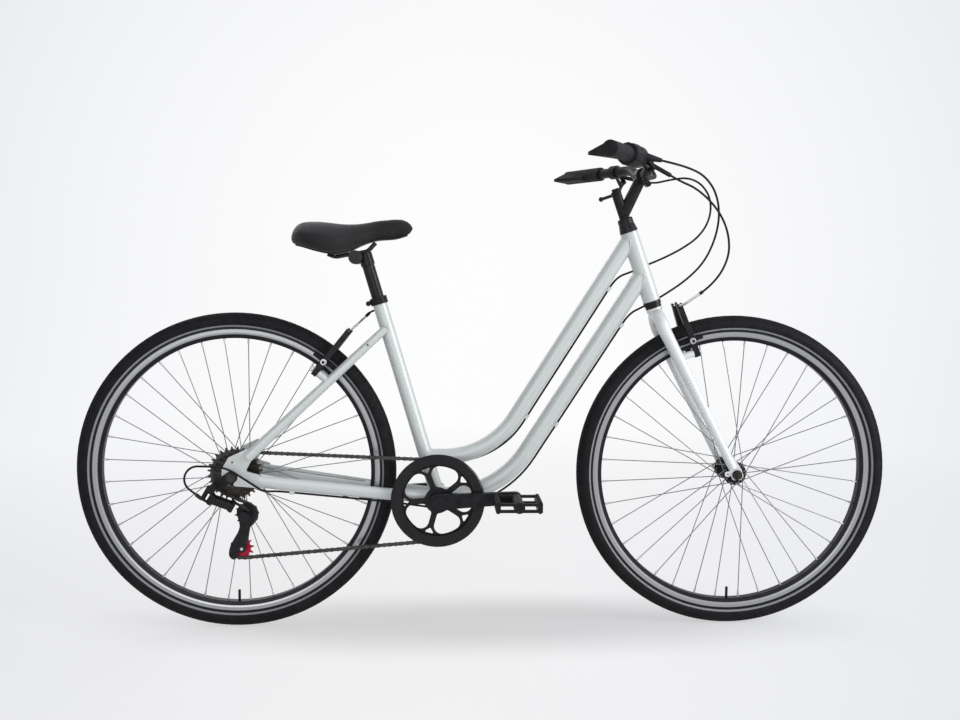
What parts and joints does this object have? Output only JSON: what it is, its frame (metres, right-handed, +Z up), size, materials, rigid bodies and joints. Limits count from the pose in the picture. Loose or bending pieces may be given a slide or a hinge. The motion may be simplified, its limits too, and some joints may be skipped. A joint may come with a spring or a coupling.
{
  "type": "hybrid bicycle",
  "caption": "Step-through hybrid bicycle with bent main tubes, an upright swept bar, rim brakes, a guarded chain drive with rear derailleur and a padded saddle.",
  "frame": {"origin": "on the ground, midway between the two axles, in the bicycle's middle plane", "axes": "+X forward, +Y to the rider's left, +Z up"},
  "size_m": [1.7999, 0.6132, 1.0493],
  "materials": {
    "frame_paint": "silver metallic paint",
    "fork_paint": "silver metallic paint",
    "black_metal": "satin black",
    "dark_steel": "dark plated",
    "bright_steel": "plated",
    "spoke_steel": "dark",
    "rim_alloy": "black with a machined brake track",
    "black_alloy": "black anodised",
    "tyre_rubber": "matt",
    "tube_rubber": "matt",
    "grip_rubber": "matt",
    "black_plastic": "satin",
    "guard_plastic": "gloss",
    "red_plastic": "satin",
    "cable_housing": "satin",
    "chain_steel": "brown plated",
    "saddle_cover": "soft-grained"
  },
  "bodies": {
    "frame": {"head_tube": "frame_paint", "upper_main_tube": "frame_paint", "lower_main_tube": "frame_paint", "seat_tube": "frame_paint", "bottom_bracket_shell": "frame_paint", "chain_stays": "frame_paint", "seat_stays": "frame_paint", "dropouts": "frame_paint", "bearing_cups": "black_metal", "seat_collar": "black_alloy", "rear_axle": "dark_steel", "derailleur_mount": "black_metal", "rear_brake_cable": "cable_housing", "shift_cable": "cable_housing", "chain": "chain_steel"},
    "derailleur_outer_link": {"derailleur_outer_link": "black_metal"},
    "derailleur_inner_link": {"derailleur_inner_link": "black_metal"},
    "derailleur_knuckle": {"derailleur_knuckle": "black_metal"},
    "derailleur_cage": {"derailleur_cage": "black_metal"},
    "guide_pulley": {"guide_pulley": "black_plastic"},
    "tension_pulley": {"tension_pulley": "red_plastic"},
    "steering": {"fork": "fork_paint", "headset_races": "black_metal", "quill_stem": "black_alloy", "handlebar": "black_alloy", "grips": "grip_rubber", "bar_control_brackets": "black_plastic", "front_axle": "bright_steel", "front_brake_cable": "cable_housing"},
    "right_brake_lever": {"right_brake_lever": "black_alloy"},
    "left_brake_lever": {"left_brake_lever": "black_alloy"},
    "shifter_twist_ring": {"shifter_twist_ring": "grip_rubber"},
    "front_brake_arm_left": {"front_brake_arm_left": "black_alloy"},
    "front_brake_arm_right": {"front_brake_arm_right": "black_alloy"},
    "rear_brake_arm_left": {"rear_brake_arm_left": "black_alloy"},
    "rear_brake_arm_right": {"rear_brake_arm_right": "black_alloy"},
    "front_wheel": {"front_tyre": "tyre_rubber", "front_rim": "rim_alloy", "front_spokes": "spoke_steel", "front_hub": "black_alloy", "front_inner_tube": "tube_rubber"},
    "rear_wheel": {"rear_tyre": "tyre_rubber", "rear_rim": "rim_alloy", "rear_spokes": "spoke_steel", "rear_hub": "black_alloy", "rear_inner_tube": "tube_rubber"},
    "sprocket_cluster": {"sprocket_cluster": "dark_steel"},
    "crankset": {"crank_spindle": "bright_steel", "right_crank": "black_alloy", "left_crank": "black_alloy", "chainring": "black_metal", "chain_guard": "guard_plastic", "pedal_axles": "bright_steel"},
    "right_pedal": {"right_pedal": "black_plastic"},
    "left_pedal": {"left_pedal": "black_plastic"},
    "seat_post": {"seat_post": "black_metal", "saddle_clamp": "black_metal"},
    "saddle": {"saddle_rails": "black_metal", "saddle_base": "black_plastic", "saddle_cover": "saddle_cover"}
  },
  "joints": [
    {"name": "steering", "type": "hinge", "parent": "frame", "child": "steering", "pos_m": [0.33715, 0, 0.8037], "axis": [-0.3338, 0, 0.9426], "range_deg": [-60, 60], "deforming": ["rear_brake_cable", "shift_cable"]},
    {"name": "front_wheel_spin", "type": "hinge", "parent": "steering", "child": "front_wheel", "pos_m": [0.551, 0, 0.349], "axis": [0, 1, 0], "continuous": true},
    {"name": "rear_wheel_spin", "type": "hinge", "parent": "frame", "child": "rear_wheel", "pos_m": [-0.551, 0, 0.349], "axis": [0, 1, 0], "continuous": true},
    {"name": "crank_spin", "type": "hinge", "parent": "frame", "child": "crankset", "pos_m": [-0.109, 0, 0.292], "axis": [0, 1, 0], "continuous": true, "deforming": ["chain"]},
    {"name": "sprocket_spin", "type": "hinge", "parent": "frame", "child": "sprocket_cluster", "pos_m": [-0.551, 0, 0.349], "axis": [0, 1, 0], "continuous": true},
    {"name": "right_pedal_spin", "type": "hinge", "parent": "crankset", "child": "right_pedal", "pos_m": [0.06077, -0.12, 0.3009], "axis": [0, 1, 0], "continuous": true},
    {"name": "left_pedal_spin", "type": "hinge", "parent": "crankset", "child": "left_pedal", "pos_m": [-0.27877, 0.12, 0.2831], "axis": [0, 1, 0], "continuous": true},
    {"name": "right_brake_squeeze", "type": "hinge", "parent": "steering", "child": "right_brake_lever", "pos_m": [0.32225, -0.15923, 1.00189], "axis": [-0.634, 0.3961, -0.6642], "range_deg": [0, 20], "stiffness_Nm_per_rad": 0.6, "springref_deg": -17.19, "deforming": ["front_brake_cable"]},
    {"name": "left_brake_squeeze", "type": "hinge", "parent": "steering", "child": "left_brake_lever", "pos_m": [0.32225, 0.15923, 1.00189], "axis": [0.634, 0.3961, 0.6642], "range_deg": [0, 20], "stiffness_Nm_per_rad": 0.6, "springref_deg": -17.19, "deforming": ["rear_brake_cable"]},
    {"name": "shifter_twist", "type": "hinge", "parent": "steering", "child": "shifter_twist_ring", "pos_m": [0.27139, -0.19819, 1.02589], "axis": [0.5081, 0.8613, 0], "range_deg": [-24, 120], "deforming": ["shift_cable", "chain"]},
    {"name": "outer_link_swing", "type": "hinge", "parent": "frame", "child": "derailleur_outer_link", "pos_m": [-0.59, -0.095, 0.305], "axis": [0.4961, 0, 0.8682], "range_deg": [-29.7, 6]},
    {"name": "inner_link_swing", "type": "hinge", "parent": "frame", "child": "derailleur_inner_link", "pos_m": [-0.59292, -0.08244, 0.30667], "axis": [0.4961, 0, 0.8682], "range_deg": [-29.7, 6]},
    {"name": "knuckle_swing", "type": "hinge", "parent": "derailleur_outer_link", "child": "derailleur_knuckle", "pos_m": [-0.5518, -0.07001, 0.28317], "axis": [0.4961, 0, 0.8682], "range_deg": [-6, 29.7]},
    {"name": "cage_swing", "type": "hinge", "parent": "derailleur_knuckle", "child": "derailleur_cage", "pos_m": [-0.526, -0.037, 0.26], "axis": [0, 1, 0], "range_deg": [-25, 25], "stiffness_Nm_per_rad": 0.8, "deforming": ["chain"]},
    {"name": "guide_pulley_spin", "type": "hinge", "parent": "derailleur_knuckle", "child": "guide_pulley", "pos_m": [-0.526, -0.037, 0.26], "axis": [0, 1, 0], "continuous": true},
    {"name": "tension_pulley_spin", "type": "hinge", "parent": "derailleur_cage", "child": "tension_pulley", "pos_m": [-0.53645, -0.037, 0.18472], "axis": [0, 1, 0], "continuous": true},
    {"name": "post_slide", "type": "slide", "parent": "frame", "child": "seat_post", "axis": [-0.289, 0, 0.9573], "range_m": [-0.05, 0.06]},
    {"name": "saddle_tilt", "type": "hinge", "parent": "seat_post", "child": "saddle", "pos_m": [-0.28943, 0, 0.8204], "axis": [0, 1, 0], "range_deg": [-8, 8]},
    {"name": "front_left_arm_swing", "type": "hinge", "parent": "steering", "child": "front_brake_arm_left", "pos_m": [0.45553, 0.04, 0.6186], "axis": [0.9426, 0, 0.3338], "range_deg": [0, 3.01]},
    {"name": "front_right_arm_swing", "type": "hinge", "parent": "steering", "child": "front_brake_arm_right", "pos_m": [0.45553, -0.04, 0.6186], "axis": [-0.9426, 0, -0.3338], "range_deg": [0, 3.01]},
    {"name": "rear_left_arm_swing", "type": "hinge", "parent": "frame", "child": "rear_brake_arm_left", "pos_m": [-0.37296, 0.04, 0.57283], "axis": [0.7826, 0, -0.6225], "range_deg": [0, 3.01]},
    {"name": "rear_right_arm_swing", "type": "hinge", "parent": "frame", "child": "rear_brake_arm_right", "pos_m": [-0.37296, -0.04, 0.57283], "axis": [-0.7826, 0, 0.6225], "range_deg": [0, 3.01]}
  ],
  "couplings": [
    {"joint": "sprocket_spin", "follows": "crank_spin", "ratio": 1.8333},
    {"joint": "tension_pulley_spin", "follows": "crank_spin", "ratio": 4},
    {"joint": "guide_pulley_spin", "follows": "crank_spin", "ratio": -4},
    {"joint": "outer_link_swing", "follows": "shifter_twist", "ratio": -0.2467},
    {"joint": "inner_link_swing", "follows": "shifter_twist", "ratio": -0.2467},
    {"joint": "knuckle_swing", "follows": "shifter_twist", "ratio": 0.2467},
    {"joint": "front_left_arm_swing", "follows": "right_brake_squeeze", "ratio": 0.15},
    {"joint": "front_right_arm_swing", "follows": "right_brake_squeeze", "ratio": 0.15},
    {"joint": "rear_left_arm_swing", "follows": "left_brake_squeeze", "ratio": 0.15},
    {"joint": "rear_right_arm_swing", "follows": "left_brake_squeeze", "ratio": 0.15}
  ]
}
